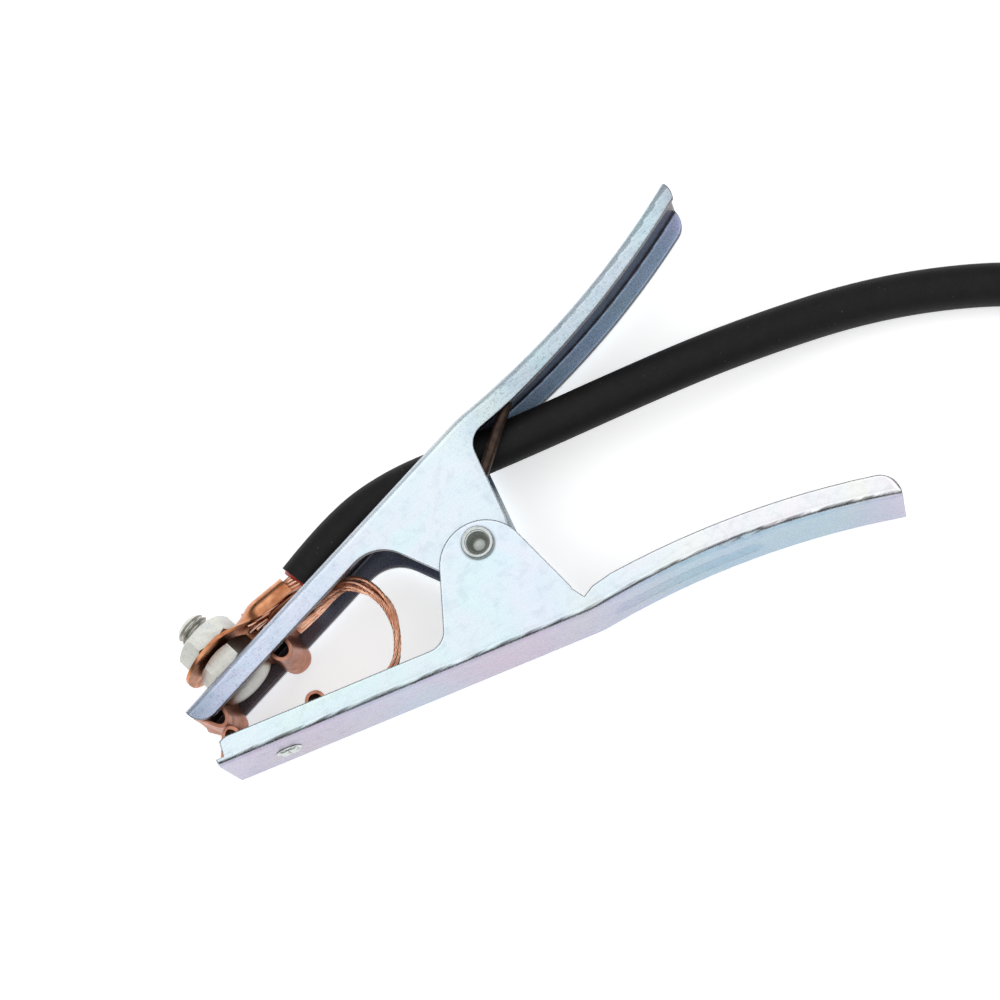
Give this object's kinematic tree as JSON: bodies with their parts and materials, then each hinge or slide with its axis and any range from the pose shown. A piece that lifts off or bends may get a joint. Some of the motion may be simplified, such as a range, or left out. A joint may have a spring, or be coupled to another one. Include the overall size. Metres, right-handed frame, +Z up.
{
  "type": "ground clamp",
  "caption": "Sprung jaw clamp that ties a welding machine's return lead to the workpiece, with copper contacts, a shunt braid and a stored cable with its plug.",
  "frame": {"origin": "middle of the clamp's footprint, lead left out, on the surface it lies on", "axes": "+X along the clamp from the jaws to the handles, +Y from the lower lever towards the upper one, +Z up along the pivot"},
  "size_m": [0.3837, 0.1398, 0.0264],
  "materials": {
    "zinc_plate": "bright blue-passivated zinc with faint iridescence",
    "zinc_fastener": "dull zinc on nuts and bolt",
    "rivet_steel": "satin zinc on rivets",
    "spring_steel": "dark oiled spring steel",
    "contact_copper": "rolled copper, satin",
    "lug_copper": "annealed copper with pressing marks",
    "strand_copper": "bare twisted copper wires",
    "separator_red": "thin red separator",
    "cable_rubber": "matt black rubber",
    "plug_rubber": "moulded black rubber",
    "plug_brass": "turned brass",
    "tie_fabric": "black hook and loop strap"
  },
  "bodies": {
    "upper_jaw_body": {"upper_lever": "zinc_plate", "pivot_rivet": "rivet_steel", "torsion_spring": "spring_steel", "upper_contact": "contact_copper", "terminal_bolt": "zinc_fastener", "inner_nut": "zinc_fastener", "outer_nut": "zinc_fastener", "cable_lug": "lug_copper", "conductor": "strand_copper", "core_insulation": "separator_red", "shunt_braid": "strand_copper", "cable": "cable_rubber", "cable_coil": "cable_rubber", "cable_tail": "cable_rubber", "plug_relief": "plug_rubber", "plug_sleeve": "plug_rubber", "plug_pin": "plug_brass", "coil_tie_1": "tie_fabric", "coil_tie_2": "tie_fabric"},
    "lower_jaw_body": {"lower_lever": "zinc_plate", "lower_contact": "contact_copper", "contact_rivet": "rivet_steel"}
  },
  "joints": [
    {"name": "jaw_hinge", "type": "hinge", "parent": "upper_jaw_body", "child": "lower_jaw_body", "pos_m": [-0.00366, 0.00032, 0.0132], "axis": [0, 0, 1], "range_deg": [0, 20], "stiffness_Nm_per_rad": 3, "springref_deg": -34.38, "deforming": ["torsion_spring", "shunt_braid"]}
  ]
}
